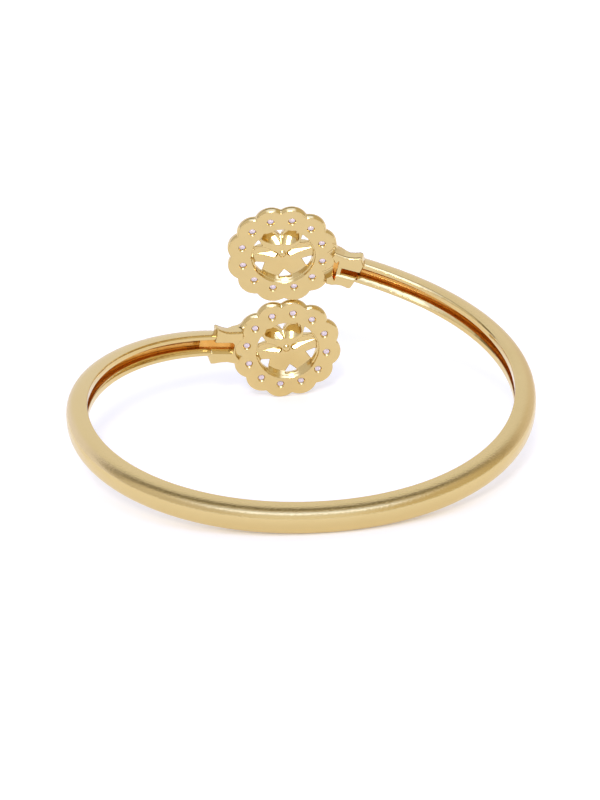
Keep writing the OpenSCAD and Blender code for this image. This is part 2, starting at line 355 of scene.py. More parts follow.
# Petals: domed in front, with a cell for the enamel, and hollowed from behind
PETAL_STEP = 360 / PETALS
PETAL_TURN = OPENING_TURN + PETAL_STEP / 2
PETAL_ARC = 2.3
PETAL_WIDTH = 1.35
CELL_ARC = 1.95
CELL_WIDTH = 1.1
CELL_MIDDLE = 2.7
CELL_FLOOR = 0.33
CELL_GAP = 0.03
HOLLOW_ARC = 2.15
HOLLOW_WIDTH = 1.22
HOLLOW_LEVEL = 1.0
HOLLOW_ASIDE = 0.1
HOLLOW_FLOOR = 2.0
HOLLOW_ROUND = 0.25
RIDGE_HALF = 0.09
HOLLOW_WALL = 0.12

# The round recess behind: a ledge, a wall that slants at the foot, and a low mound round the middle
HUB_RADIUS = 1.0
HUB_LEVEL = 0.35
WEB_HEIGHT = 1.0
WEB_ROUND = 3 * CAST_ROUND
MOUND_SLOPE = 0.28
MOUND_FADE = 1.5
HOLLOW_RADIUS = 4.25
LEDGE_RADIUS = 4.52
LEDGE_DEPTH = 0.35
LEDGE_ASIDE = 0.13
LEDGE_LOWER = 0.3
WALL_FADE = 1.3
LEAST_REACH = 0.1

# Openings, stone seats, beads and bosses
OPENING_START = 3.05
OPENING_END = 4.3
OPENING_SLANT = math.atan2(1.55, 1.95)
OPENING_ROUND = 2 * CAST_ROUND
SEAT_DEPTH = 0.85
SEAT_RADIUS = STONE_RADIUS + 0.05
BEAD_RADIUS = 0.33
BEAD_CIRCLES = (STONE_CIRCLE - 0.75, STONE_CIRCLE + 0.32)
BEAD_RISE = 0.05
CENTRE_RADIUS = 0.85
CENTRE_HEIGHT = 1.95
BOSS_RADIUS = 0.6
BOSS_FROM = 0.03
BOSS_ROUND = 1.5 * CAST_ROUND
SIGHT_BEVEL = 0.24
SIGHT_MOUTH = 0.4

# Behind the upper petals, two scoops face the sky. The bottom line of each runs between two places, which
# are given as (right, up, deep).
SKY_SCOOPS = [((-0.62, 1.4, 0.3), (-1.85, 2.8, 1.7)), ((0.52, 1.4, 0.3), (0.95, 2.85, 1.75))]
SKY_SLANT = math.radians(45)
SKY_RADIUS = 2.6

# The crest between them, and the facets low behind the side petals
CREST_START = 1.65
CREST_ROOF = 1.25
CREST_LEAN = 0.12
CREST_HALF = 0.28
SIDE_START = 0.12
SIDE_LEAN = 0.14
SIDE_LEVEL = 1.1
SIDE_ROOF = 1.12

# How far a petal points up, from -1 to 1, where it counts as an upper or a side one
UPPER_PETAL = 0.7
SIDE_PETAL = 0.3
UNCUT = 1.0


def half_pipe(rise, aside, radius):
    """A groove with a round bottom, which touches the middle line where rise and aside are zero."""
    return np.hypot(np.minimum(rise - radius, 0), aside) - radius


def sky_facet(rise, deep, level):
    """A flat cut that faces the sky and passes a given depth where rise is zero."""
    return (deep - level) * math.cos(SKY_SLANT) - rise * math.sin(SKY_SLANT)


def petal_scoop(right, rise, deep, axis_right, axis_rise):
    """The cut behind the upper and side petals, seen from behind. The lower petals' backs stay uncut."""
    facet = sky_facet(rise - SIDE_START - SIDE_LEAN * right, deep, SIDE_LEVEL)
    facet = soft_max(facet, deep - SIDE_ROOF, CAST_ROUND)
    scoop = np.where(np.abs(axis_rise) < SIDE_PETAL, facet, UNCUT)
    for (low, high), is_here in zip(SKY_SCOOPS, (axis_right < 0, axis_right > 0)):
        run = np.subtract(high, low)
        run /= np.linalg.norm(run)
        out = np.array([0, math.sin(SKY_SLANT), -math.cos(SKY_SLANT)])
        out -= run * (run @ out)
        out /= np.linalg.norm(out)
        from_low = np.stack([right, rise, deep], axis=-1) - low
        sky = half_pipe(from_low @ out, from_low @ np.cross(run, out), SKY_RADIUS)
        scoop = np.where(is_here & (axis_rise > UPPER_PETAL), sky, scoop)
    return scoop


def flower_outline(lobe_x, lobe_y, r):
    """The plate's edge: round lobes about a core."""
    step = math.radians(LOBE_STEP)
    reach = LOBE_TIP - LOBE_RADIUS
    lobe = np.hypot(lobe_x - reach, lobe_y) - LOBE_RADIUS
    aside = np.abs(lobe_y) - reach * math.sin(step)
    next_lobe = np.hypot(lobe_x - reach * math.cos(step), aside) - LOBE_RADIUS
    return np.minimum(soft_min(lobe, next_lobe, VALLEY_ROUND), r - CORE_RADIUS)


def plate_field(outline, z, above, slant):
    """The plate, with a bevel round its back that is widest at the top."""
    metal = rounded_slab(outline, z, 0, PLATE_THICK, BACK_ROUND, FRONT_ROUND)
    bevel_height = BEVEL_HEIGHT * np.maximum(BEVEL_MIDDLE + BEVEL_CHANGE * above, LEAST_BEVEL)
    bevel = outline * math.sin(slant) - (z - bevel_height) * math.cos(slant)
    return soft_max(metal, bevel, CAST_ROUND)


def ball_field(aside, z, radius):
    return np.hypot(aside, z) - radius


def cell_field(petal_x, petal_y, z):
    """The cell in a petal's front, which holds its enamel."""
    floor = lemon_field(petal_x, petal_y, z, PETAL_ARC - CELL_FLOOR, PETAL_WIDTH - CELL_FLOOR, PETAL_BASE)
    cell = lens_field(petal_x, petal_y, CELL_ARC, CELL_WIDTH, CELL_MIDDLE) - CELL_GAP
    return np.maximum(np.maximum(cell, -floor), PETAL_BASE + CELL_FLOOR - z)


def petal_hollow(petal_x, petal_y, z, cell):
    """The hollow behind a petal. It leaves a wall round the cell, and a thin ridge to the next petal."""
    level = np.maximum(z, HOLLOW_LEVEL)
    hollow = lemon_field(petal_x + HOLLOW_ASIDE, petal_y, level, HOLLOW_ARC, HOLLOW_WIDTH, HOLLOW_LEVEL)
    half_step = math.radians(PETAL_STEP / 2)
    ridge = np.abs(petal_y) * math.cos(half_step) - petal_x * math.sin(half_step) + RIDGE_HALF
    hollow = soft_max(hollow, ridge, CAST_ROUND)
    return soft_max(soft_max(hollow, HOLLOW_WALL - cell, HOLLOW_ROUND), z - HOLLOW_FLOOR, HOLLOW_ROUND)


def recess_field(right, rise, deep, r, slant):
    """The ledge and the round recess behind the flower, down to the mound and the crest in its middle."""
    from_middle = np.hypot(right - LEDGE_ASIDE, rise + LEDGE_LOWER)
    lowness = -(rise + LEDGE_LOWER) / np.maximum(from_middle, LEAST_REACH)
    slanted = math.cos(slant) * np.clip(WALL_FADE * lowness, 0, 1)
    ledge = np.maximum((from_middle - LEDGE_RADIUS) * math.sin(slant) + deep * slanted, deep - LEDGE_DEPTH)
    recess = (from_middle - HOLLOW_RADIUS) * math.sin(slant) + (deep - LEDGE_DEPTH) * slanted
    steady = 1 - np.clip(MOUND_FADE * rise / np.maximum(r, LEAST_REACH), 0, 1)
    fall = np.maximum(r - HUB_RADIUS, 0) * MOUND_SLOPE * steady
    mound = (deep - HUB_LEVEL - fall) / math.hypot(1, MOUND_SLOPE)
    mound = soft_max(mound, deep - WEB_HEIGHT, WEB_ROUND)
    crest = soft_max(sky_facet(rise - CREST_START, deep, HUB_LEVEL), deep - CREST_ROOF, CAST_ROUND)
    on_crest = (rise > 0) & (np.abs(right + CREST_LEAN * rise) < CREST_HALF)
    recess = np.maximum(recess, np.where(on_crest, np.minimum(mound, crest), mound))
    return soft_min(ledge, recess, CAST_ROUND)


def opening_field(open_x, open_y, r):
    """A three-sided opening between two petals."""
    wedge = np.abs(open_y) * math.cos(OPENING_SLANT) - (open_x - OPENING_START) * math.sin(OPENING_SLANT)
    return soft_max(wedge, r - OPENING_END, OPENING_ROUND)


def sight_field(lobe_x, lobe_y, z, slant):
    """A sight hole, bevelled behind, that widens to the stone's seat in front."""
    flare = (SEAT_RADIUS - SIGHT_RADIUS) / SEAT_DEPTH
    cone_radius = SIGHT_RADIUS + flare * (z - PLATE_THICK + SEAT_DEPTH)
    bevel_radius = SIGHT_MOUTH + (SIGHT_BEVEL - z) / math.tan(slant)
    radius = np.clip(np.maximum(cone_radius, bevel_radius), SIGHT_MOUTH, SEAT_RADIUS)
    return (np.hypot(lobe_x - STONE_CIRCLE, lobe_y) - radius) / math.hypot(1, flare)


def flower_field(points, up):
    """The flower. Up is 1 where the flower's +Y lies upwards, and -1 where it lies downwards."""
    x, y, z = points.T
    right = -up * x
    rise = up * y
    r = np.hypot(x, y)
    angle = np.degrees(np.arctan2(y, x))
    lobe_x, lobe_y = folded(r, angle - LOBE_TURN, LOBE_STEP)
    bead_x, bead_y = folded(r, angle - LOBE_TURN - LOBE_STEP / 2, LOBE_STEP)
    petal_x, petal_y = folded(r, angle - PETAL_TURN, PETAL_STEP)
    open_x, open_y = folded(r, angle - OPENING_TURN, PETAL_STEP)
    axis = np.radians(PETAL_TURN + PETAL_STEP * np.round((angle - PETAL_TURN) / PETAL_STEP))
    slant = math.radians(BEVEL_SLANT + up * FLOWER_LEAN)
    above = np.clip(rise / LOBE_TIP, -1, 1)

    outline = flower_outline(lobe_x, lobe_y, r)
    if up > 0:
        outline = outline + RIM_GROWTH * np.minimum(above, 0)
    metal = plate_field(outline, z, above, slant)
    dome = lemon_field(petal_x, petal_y, z, PETAL_ARC, PETAL_WIDTH, PETAL_BASE)
    cell = cell_field(petal_x, petal_y, z)
    metal = soft_min(metal, soft_max(dome, -cell, FINE_ROUND), CAST_ROUND)
    metal = soft_min(metal, ball_field(r, z - CENTRE_HEIGHT, CENTRE_RADIUS), CAST_ROUND)
    for circle in BEAD_CIRCLES:
        from_bead = np.hypot(bead_x - circle, bead_y)
        bead = ball_field(from_bead, z - PLATE_THICK - BEAD_RISE, BEAD_RADIUS)
        metal = soft_min(metal, bead, CAST_ROUND)

    scoop = petal_scoop(right, rise, z, -up * np.cos(axis), up * np.sin(axis))
    behind = soft_max(petal_hollow(petal_x, petal_y, z, cell), scoop, CAST_ROUND)
    behind = soft_min(recess_field(right, rise, z, r, slant), behind, CAST_ROUND)
    metal = soft_max(metal, -behind, CAST_ROUND)
    metal = soft_max(metal, -opening_field(open_x, open_y, r), CAST_ROUND)
    metal = soft_max(metal, -sight_field(lobe_x, lobe_y, z, slant), FINE_ROUND)
    boss = ball_field(r, z - BOSS_FROM - BOSS_RADIUS, BOSS_RADIUS)
    return soft_min(metal, boss, BOSS_ROUND)


def on_side(side):
    return turned("Y", 0 if side == "upper" else 180)


def at_flower(side):
    spin = FLOWER_SPIN if side == "upper" else -FLOWER_SPIN
    return (
        on_side(side)
        @ moved(FLOWER_ASIDE, FLOWER_REACH, FLOWER_RISE)
        @ turned("Z", -FLOWER_TURN)
        @ turned("X", FLOWER_LEAN)
        @ turned("Z", 180)
        @ turned("X", 90)
        @ turned("Z", spin)
    )


# Collar, drawn along +X with the wrist at +Z. It is deeper where it is soldered to the flower.
COLLAR_START = -3.6
COLLAR_END = 4.0
COLLAR_DEEP = 2.0
DEEP_TO = -1.2
COLLAR_BEVEL = 0.26
BEVEL_FOOT = -0.9 * COLLAR_THICK
TONGUE_START = 1.6
TONGUE_END = 3.9
TONGUE_HALF = 1.1
TONGUE_LEVEL = 0.78
TONGUE_SUNK = 0.5
SLOT_DEEP = 1.45
POOL_DEEP = 0.95
ROOT_START = -1.95
ROOT_END = -0.55
ROOT_LOW = 1.9
ROOT_HIGH = 1.2
ROOT_HALF = 1.35
SOLDER_ROUND = 0.8
SOLDER_SPOTS = [(-1.9, -1.6, -0.45), (-1.35, -2.1, -0.2), (-2.3, -1.2, -0.8)]
SOLDER_RADIUS = 0.5
SPOT_ROUND = 2 * CAST_ROUND

# The two collars are finished by hand and differ. Slot: how far down its top and its foot are as the cuff
# rests, how far the foot's bevel opens it, and where it starts along the collar.
COLLARS = {
    "upper": {
        "face": 0.4,
        "slot": (-0.52, 0.6, 0.42, -0.5),
        "outline": [
            (-3.6, -2.75), (-1.3, -2.75), (-0.65, -2.5), (0.0, -2.43), (0.5, -2.5), (0.9, -2.6),
            (1.25, -2.56), (1.45, -2.3), (1.62, -1.7), (2.1, 0.0), (2.5, 1.75), (1.92, 2.86),
            (1.5, 2.88), (0.8, 2.62), (0.1, 2.46), (-0.6, 2.44), (-1.8, 2.6), (-3.6, 3.4),
        ],
    },
    "lower": {
        "face": 0.2,
        "slot": (-0.88, 0.42, 0.5, -1.1),
        "outline": [
            (-3.6, -2.9), (-1.9, -2.62), (-1.1, -2.58), (-0.1, -2.52), (0.5, -2.6), (1.2, -2.82),
            (1.8, -3.08), (2.12, -3.02), (1.97, -2.0), (2.1, 0.0), (2.45, 1.65), (1.9, 2.7),
            (1.4, 2.72), (0.5, 2.52), (-0.56, 2.45), (-1.65, 2.68), (-3.6, 3.0),
        ],
    },
}

# Beside the upper flower, a mouth opens down into the band behind a low dam
MOUTH_RADIUS = 2.62
MOUTH_MIDDLE = (0.93, -0.1)
MOUTH_EDGE = -1.08
MOUTH_DEEP = 0.8
DAM_DROP = 0.35
DAM_OVERLAP = 0.3


def box_field(x, y, z, low, high):
    """Signed distance to a box, near enough for cutting."""
    gaps = [np.maximum(a - p, p - b) for p, a, b in zip((x, y, z), low, high)]
    return np.maximum(np.maximum(gaps[0], gaps[1]), gaps[2])


def collar_field(points, side):
    shape = COLLARS[side]
    face = shape["face"]
    x, y, z = points.T
    outline = polygon_field(x, y, shape["outline"])
    profile = polygon_field(x, z, [
        (COLLAR_END, face), (COLLAR_START, face), (COLLAR_START, -COLLAR_DEEP), (DEEP_TO, -COLLAR_DEEP),
        (0, -COLLAR_THICK), (COLLAR_END, -COLLAR_THICK),
    ])
    slant = math.radians(BEVEL_SLANT)
    bevel = outline * math.sin(slant) + (profile + COLLAR_BEVEL) * math.cos(slant)
    bevel = np.where(z > BEVEL_FOOT, bevel, outline)
    metal = soft_max(soft_max(outline, profile, CAST_ROUND), bevel, CAST_ROUND)
    root = box_field(x, y, z, (ROOT_START, -ROOT_HALF, -ROOT_LOW), (ROOT_END, ROOT_HALF, -ROOT_HIGH))
    metal = soft_min(metal, root, CAST_ROUND)
    if side == "lower":
        low = (TONGUE_START, -TONGUE_HALF, -COLLAR_THICK - TONGUE_SUNK)
        metal = np.minimum(metal, box_field(x, y, z, low, (TONGUE_END, TONGUE_HALF, -TONGUE_LEVEL)))
    if side == "upper":
        for spot in SOLDER_SPOTS:
            drop = np.linalg.norm(points - spot, axis=-1) - SOLDER_RADIUS
            metal = soft_min(metal, drop, SPOT_ROUND)
    return metal


def channel_field(points, side):
    """What is cut out of a collar: the slot, and beside the upper flower the mouth and the dam's top."""
    face = COLLARS[side]["face"]
    top, foot, opening, start = COLLARS[side]["slot"]
    x, y, z = points.T
    down = -y if side == "upper" else y
    slant = math.radians(BEVEL_SLANT)
    opened = (down - foot - opening) * math.sin(slant) - (z - face) * math.cos(slant)
    walls = np.maximum(np.minimum(down - foot, opened), top - down)
    if side == "lower":
        half = (foot - top) / 2
        end = np.hypot(np.minimum(x - start - half, 0), np.minimum(down - top - half, 0)) - half
        cut = np.maximum(np.maximum(walls, end), start - x)
        return np.maximum(cut, face - POOL_DEEP - z)
    channel = np.maximum(np.maximum(walls, start - x), -SLOT_DEEP - z)
    over_dam = np.maximum(np.maximum(walls, MOUTH_EDGE - DAM_OVERLAP - x), face - DAM_DROP - z)
    mouth = np.maximum(np.hypot(x - MOUTH_MIDDLE[0], y - MOUTH_MIDDLE[1]) - MOUTH_RADIUS, x - MOUTH_EDGE)
    mouth = np.maximum(mouth, -MOUTH_DEEP - z)
    return np.minimum(np.minimum(channel, over_dam), mouth)


def at_collar(side):
    turn = np.array(COLLAR_AT)
    out = outward(turn)
    lips = crown(turn) - out * (BAND_THICK * scale_at(turn) + COLLAR_PROUD)
    drop = -COLLAR_DROP if side == "upper" else COLLAR_DROP
    return (
        on_side(side)
        @ moved(*lips)
        @ turned("Z", -math.degrees(math.atan2(out[0], out[1])))
        @ turned("Y", COLLAR_SLOPE)
        @ turned("X", 90)
        @ moved(0, drop, 0)
    )


# A flower and its collar are meshed together. Well away from either, its field is only a large number.
FLOWER_BOX = ((-8.3, -8.3, -0.25), (8.3, 8.3, 3.05))
COLLAR_BOX = ((-3.8, -3.4, -2.2), (4.1, 3.4, 0.6))
STEP_LOBE = 2.2
FAR = 9.0
MARGIN = 1.5
CHANNEL_SKIN = 0.06
CHANNEL_FROM = 0.62
TERMINAL_STEP = 0.1


def terminal_mesh(side, step):
    """A flower soldered to its collar, drawn in the flower's frame, and the finish of each face."""
    to_collar = at_collar(side).inverted() @ at_flower(side)
    up = 1 if side == "upper" else -1

    def field(points):
        by_collar = placed(points, to_collar)
        r = np.hypot(points[:, 0], points[:, 1])
        flower = np.full(len(points), FAR)
        near = r < LOBE_TIP + MARGIN
        flower[near] = flower_field(points[near], up)
        collar = np.full(len(points), FAR)
        near = by_collar[:, 0] > COLLAR_START - MARGIN
        collar[near] = collar_field(by_collar[near], side)
        turn = np.degrees(np.arctan2(points[:, 1], points[:, 0])) - LOBE_TURN
        lobe_x, lobe_y = folded(r, turn, LOBE_STEP)
        lobe = np.hypot(lobe_x - LOBE_TIP + LOBE_RADIUS, lobe_y) - STEP_LOBE
        collar = soft_max(collar, -np.minimum(lobe, r - CORE_RADIUS), CAST_ROUND)
        metal = soft_min(flower, collar, SOLDER_ROUND)
        return soft_max(metal, -channel_field(by_collar, side), CAST_ROUND)

    corners = np.array([[x, y, z] for x, y, z in itertools.product(*zip(*COLLAR_BOX))])
    corners = np.concatenate([placed(corners, to_collar.inverted()), FLOWER_BOX])
    points, faces, normals = skin(field, corners.min(axis=0), corners.max(axis=0), step)
    middles = points[np.array(faces)].mean(axis=1)
    by_collar = placed(middles, to_collar)
    depth = COLLARS[side]["face"] - by_collar[:, 2]
    # Faces deep in the channel take the gold with painted bounce light.
    in_channel = (channel_field(by_collar, side) < CHANNEL_SKIN) & (depth > CHANNEL_FROM)
    return points, faces, normals, in_channel.astype(int)


# Shader maths
class Wire:
    """A value in a material. Its sums and products add the Math nodes that work them out."""

    def __init__(self, finish, socket):
        self.finish = finish
        self.socket = socket

    def maths(self, operation, first, second):
        return self.finish.node("Math", {"operation": operation}, {0: first, 1: second})

    def __add__(self, other):
        return self.maths("ADD", self, other)

    def __radd__(self, other):
        return self.maths("ADD", other, self)

    def __sub__(self, other):
        return self.maths("SUBTRACT", self, other)

    def __rsub__(self, other):
        return self.maths("SUBTRACT", other, self)

    def __mul__(self, other):
        return self.maths("MULTIPLY", self, other)

    def __rmul__(self, other):
        return self.maths("MULTIPLY", other, self)

    def __truediv__(self, other):
        return self.maths("DIVIDE", self, other)

    def __rtruediv__(self, other):
        return self.maths("DIVIDE", other, self)


class Finish:
    """A node tree, of a material or of the world, that grows one node at a time."""

    def __init__(self, owner):
        owner.use_nodes = True
        self.owner = owner
        self.tree = owner.node_tree

    def node(self, kind, settings=None, inputs=None, output=0):
        made = self.tree.nodes.new("ShaderNode" + kind)
        for name, value in (settings or {}).items():
            if name == "stops":
                self.set_stops(made.color_ramp, value)
            else:
                setattr(made, name, value)
        for name, value in (inputs or {}).items():
            self.feed(made.inputs[name], value)
        return Wire(self, made.outputs[output])

    def set_stops(self, ramp, stops):
        while len(ramp.elements) < len(stops):
            ramp.elements.new(1)
        for element, (position, colour) in zip(ramp.elements, stops):
            element.position = position
            element.color = colour

    def feed(self, socket, value):
        if isinstance(value, Wire):
            self.tree.links.new(value.socket, socket)
        else:
            socket.default_value = value

    def noise(self, size_mm, detail):
        """Smooth random values around 0.5, in patches of about size_mm."""
        place = self.node("TexCoord", output="Object")
        scale = MM_PER_METRE / size_mm
        return self.node("TexNoise", inputs={"Vector": place, "Scale": scale, "Detail": detail})

    def mix(self, share, first, second):
        return self.node("Mix", {"data_type": "RGBA"}, {0: share, 6: first, 7: second}, output=2)

    def shade(self, **sockets):
        shader = self.tree.nodes["Principled BSDF"]
        for name, value in sockets.items():
            self.feed(shader.inputs[name.replace("_", " ")], value)

    def bump(self, height, distance_mm):
        return self.node("Bump", inputs={"Distance": distance_mm / MM_PER_METRE, "Height": height})


def linear(red, green, blue):
    """A colour given as it looks on a screen, from 0 to 255, as the renderer wants it."""
    def straight(level):
        share = level / 255
        return share / 12.92 if share <= 0.04045 else ((share + 0.055) / 1.055) ** 2.4

    return (straight(red), straight(green), straight(blue), 1.0)


# Finishes: satin outside, polished lips and flowers, and in the channel a gold painted orange and darker,
# for the light that bounces there and the shade deep in it
GOLD = (0.71, 0.545, 0.255, 1.0)
GOLD_DEEP = (0.68, 0.515, 0.225, 1.0)
PAINTED_BOUNCE_ORANGE = (0.86, 0.5, 0.15, 1.0)
PAINTED_BOUNCE_DARK = (0.66, 0.3, 0.05, 1.0)
CRYSTAL_TINT = (0.87, 0.74, 0.76, 1.0)


def satin_gold():
    finish = Finish(bpy.data.materials.new("satin_gold"))
    cloud = finish.noise(size_mm=6, detail=3)
    grain = finish.noise(size_mm=0.22, detail=2)
    finish.shade(
        Base_Color=finish.mix(cloud, GOLD, GOLD_DEEP),
        Metallic=1.0,
        Roughness=0.17 + 0.08 * grain,
        Normal=finish.bump(grain, distance_mm=0.028),
    )
    return finish.owner


def polished_gold():
    finish = Finish(bpy.data.materials.new("polished_gold"))
    cloud = finish.noise(size_mm=3, detail=2)
    ripple = finish.noise(size_mm=1.4, detail=1)
    finish.shade(
        Base_Color=finish.mix(cloud, GOLD, GOLD_DEEP),
        Metallic=1.0,
        Roughness=0.07 + 0.08 * cloud,
        Normal=finish.bump(ripple, distance_mm=0.04),
    )
    return finish.owner


# Painted bounce light: the channel's gold is painted orange, with darker patches at random, in place of the
# light bouncing inside it
def gold_with_painted_bounce():
    finish = Finish(bpy.data.materials.new("gold_with_painted_bounce"))
    cloud = finish.noise(size_mm=1.6, detail=2)
    finish.shade(
        Base_Color=finish.mix(cloud, PAINTED_BOUNCE_ORANGE, PAINTED_BOUNCE_DARK),
        Metallic=1.0,
        Roughness=0.25,
        Normal=finish.bump(cloud, distance_mm=0.05),
    )
    return finish.owner


def petal_enamel():
    finish = Finish(bpy.data.materials.new("petal_enamel"))
    blush = finish.noise(size_mm=3.5, detail=1)
    dimple = finish.noise(size_mm=0.8, detail=1)
    finish.shade(
        Base_Color=finish.mix(blush, linear(248, 243, 236), linear(243, 222, 214)),
        Roughness=0.22,
        Coat_Weight=0.6,
        Coat_Roughness=0.05,
        Normal=finish.bump(dimple, distance_mm=0.01),
    )
    return finish.owner


def cut_crystal():
    finish = Finish(bpy.data.materials.new("cut_crystal"))
    finish.shade(
        Base_Color=CRYSTAL_TINT,
        Roughness=0.02,
        IOR=1.76,
        Transmission_Weight=1.0,
    )
    return finish.owner


def show(thing):
    bpy.context.scene.collection.objects.link(thing)


def lay_piece(name, points, faces, finishes, replaced, finish_of, normals=None):
    """Makes a mesh from points in the cuff's own frame and lays it where the cuff rests."""
    mesh = bpy.data.meshes.new(name)
    mesh.from_pydata(placed(points, AT_REST), [], faces)
    for finish in finishes:
        mesh.materials.append(finish)
    mesh.polygons.foreach_set("material_index", np.asarray(finish_of, np.int32))
    mesh.polygons.foreach_set("use_smooth", np.ones(len(mesh.polygons), bool))
    mesh.validate()
    if normals is not None:
        turn = np.array(AT_REST)[:3, :3] * MM_PER_METRE
        mesh.normals_split_custom_set_from_vertices((normals @ turn.T).tolist())
    piece = bpy.data.objects.new(name, mesh)
    show(piece)
    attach(piece, "root")
    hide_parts(*replaced)
    return piece


def cut_band(band, place, outline, low, high, finish):
    """Cuts an upright block with a convex outline out of the band."""
    mesh = bpy.data.meshes.new("cut")
    count = len(outline)
    corners = np.array([(x, y, z) for z in (low, high) for x, y in outline])
    around = [(k, (k + 1) % count) for k in range(count)]
    faces = [(a, b, b + count, a + count) for a, b in around]
    faces += [tuple(range(count))[::-1], tuple(range(count, 2 * count))]
    mesh.from_pydata(placed(corners, AT_REST @ place), [], faces)
    mesh.materials.append(finish)
    cutter = bpy.data.objects.new("cut", mesh)
    show(cutter)
    cut = band.modifiers.new("cut", "BOOLEAN")
    cut.operation = "DIFFERENCE"
    cut.solver = "EXACT"
    cut.object = cutter
    graph = bpy.context.evaluated_depsgraph_get()
    whole = bpy.data.meshes.new_from_object(band.evaluated_get(graph))
    band.modifiers.remove(cut)
    band.data = whole
    bpy.data.objects.remove(cutter)


SATIN = satin_gold()
POLISHED = polished_gold()
PAINTED_BOUNCE_GOLD = gold_with_painted_bounce()
ENAMEL = petal_enamel()
CRYSTAL = cut_crystal()
SIDES = ("upper", "lower")

# The band's ends are cut down to the flowers' backs, and the mouth and the slots are cut on into the band
TRIM_OUTLINE = [(5.0, -2.2), (7.9, -2.2), (7.9, 2.2), (5.0, 2.2)]
TRIM_LOW = -2.95
TRIM_LEVEL = 0.05
CUT_TOP = 1.0
MOUTH_POINTS = 12
SLOT_CUT_LOW = -0.8
SLOT_CUT_END = 2.0
SHARP_ANGLE = 40.0


def mouth_outline():
    """The part of the mouth's circle that lies beyond its straight edge."""
    across = MOUTH_EDGE - MOUTH_MIDDLE[0]
    turn = math.degrees(math.atan2(math.sqrt(MOUTH_RADIUS**2 - across**2), across))
    return arc_points(MOUTH_MIDDLE, MOUTH_RADIUS, turn, 360 - turn, MOUTH_POINTS)


def lay_band():
    points, faces, finish_of = band_mesh()
    finishes = [SATIN, POLISHED, PAINTED_BOUNCE_GOLD]
    band = lay_piece("cuff_band", points, faces, finishes, ["gold_cuff"], finish_of)
    for side in SIDES:
        place = at_flower(side) @ turned("Z", 180 + COLLAR_SLOPE)
        cut_band(band, place, TRIM_OUTLINE, TRIM_LOW, TRIM_LEVEL, POLISHED)
    # The mouth's and the slots' cut faces take the gold with painted bounce light.
    cut_band(band, at_collar("upper"), mouth_outline(), -MOUTH_DEEP, CUT_TOP, PAINTED_BOUNCE_GOLD)
    for side in SIDES:
        top, foot, opening, start = COLLARS[side]["slot"]
        flip = -1 if side == "upper" else 1
        low, high = sorted((flip * top, flip * (foot + opening)))
        slot = [(start, low), (SLOT_CUT_END, low), (SLOT_CUT_END, high), (start, high)]
        cut_band(band, at_collar(side), slot, SLOT_CUT_LOW, CUT_TOP, PAINTED_BOUNCE_GOLD)
    band.data.set_sharp_from_angle(angle=math.radians(SHARP_ANGLE))


def lay_flower(side):
    points, faces, normals, finish_of = terminal_mesh(side, TERMINAL_STEP)
    place = at_flower(side)
    lay_piece(
        f"flower_{side}", placed(points, place), faces, [POLISHED, PAINTED_BOUNCE_GOLD], ["gold_cuff"],
        finish_of, normals @ np.array(place)[:3, :3].T,
    )


def finish_node(node, finish):
    node.data.materials.clear()
    node.data.materials.append(finish)


def finish_petals_and_stones():
    for name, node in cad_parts.items():
        if name.startswith("enamel_petal"):
            finish_node(node, ENAMEL)
        elif name.startswith("rim_stone"):
            finish_node(node, CRYSTAL)


# Floor, in metres
FLOOR_REACH = 3.0
FLOOR_GLOW = 0.2


def lay_floor():
    mesh = bpy.data.meshes.new("floor")
    corners = [(x * FLOOR_REACH, y * FLOOR_REACH, 0) for x, y in ((-1, -1), (1, -1), (1, 1), (-1, 1))]
    mesh.from_pydata(corners, [], [(0, 1, 2, 3)])
    finish = Finish(bpy.data.materials.new("pale_floor"))
    finish.shade(
        Base_Color=(0.93, 0.93, 0.935, 1.0),
        Roughness=0.9,
        Specular_IOR_Level=0.1,
        Emission_Color=(1.0, 0.99, 1.0, 1.0),
        Emission_Strength=FLOOR_GLOW,
    )
    mesh.materials.append(finish.owner)
    floor = bpy.data.objects.new("floor", mesh)
    show(floor)


# Studio, round the cuff's own side-to-side axis from the backdrop (0) over the top (0.5) to the front (1):
# a white backdrop, a dark gap, a softbox overhead and a white room in front. Left and right are plainer.
MIDDLE_STOPS = [
    (0.0, (1.0, 1.02, 1.18, 1)),
    (0.285, (1.0, 1.02, 1.15, 1)),
    (0.31, (0.3, 0.28, 0.25, 1)),
    (0.345, (0.1, 0.08, 0.06, 1)),
    (0.38, (0.22, 0.2, 0.16, 1)),
    (0.42, (0.6, 0.58, 0.5, 1)),
    (0.465, (0.75, 0.76, 0.8, 1)),
    (0.49, (1.12, 1.28, 1.95, 1)),
    (0.555, (1.12, 1.28, 1.95, 1)),
    (0.562, (2.1, 2.4, 3.7, 1)),
    (0.598, (2.1, 2.4, 3.7, 1)),
    (0.605, (1.1, 1.25, 1.9, 1)),
    (0.625, (1.1, 1.25, 1.9, 1)),
    (0.637, (0.72, 0.74, 0.75, 1)),
    (0.655, (1.04, 1.06, 1.18, 1)),
    (1.0, (1.0, 1.0, 1.03, 1)),
]
LEFT_STOPS = [
    (0.0, (1.04, 1.07, 1.45, 1)),
    (0.285, (1.04, 1.06, 1.4, 1)),
    (0.325, (0.22, 0.19, 0.16, 1)),
    (0.39, (0.3, 0.27, 0.23, 1)),
    (0.45, (0.9, 0.88, 0.9, 1)),
    (0.66, (0.76, 0.74, 0.78, 1)),
    (0.85, (0.84, 0.82, 0.84, 1)),
]
RIGHT_STOPS = [
    (0.0, (0.92, 0.88, 0.98, 1)),
    (0.285, (0.88, 0.83, 0.82, 1)),
    (0.325, (0.42, 0.36, 0.3, 1)),
    (0.39, (0.5, 0.44, 0.36, 1)),
    (0.45, (0.78, 0.69, 0.52, 1)),
    (0.66, (0.74, 0.66, 0.5, 1)),
    (0.85, (0.8, 0.73, 0.6, 1)),
]
SOFTBOX_HALF = 0.3
SOFTBOX_FADE = 0.2
SIDE_BLEND = 3.0

# The sun. It casts the shadow and doesn't show in the gold.
KEY_STRENGTH = 0.95
KEY_WIDTH = 10.0
KEY_RISE = 34.0
KEY_ASIDE = -10.0

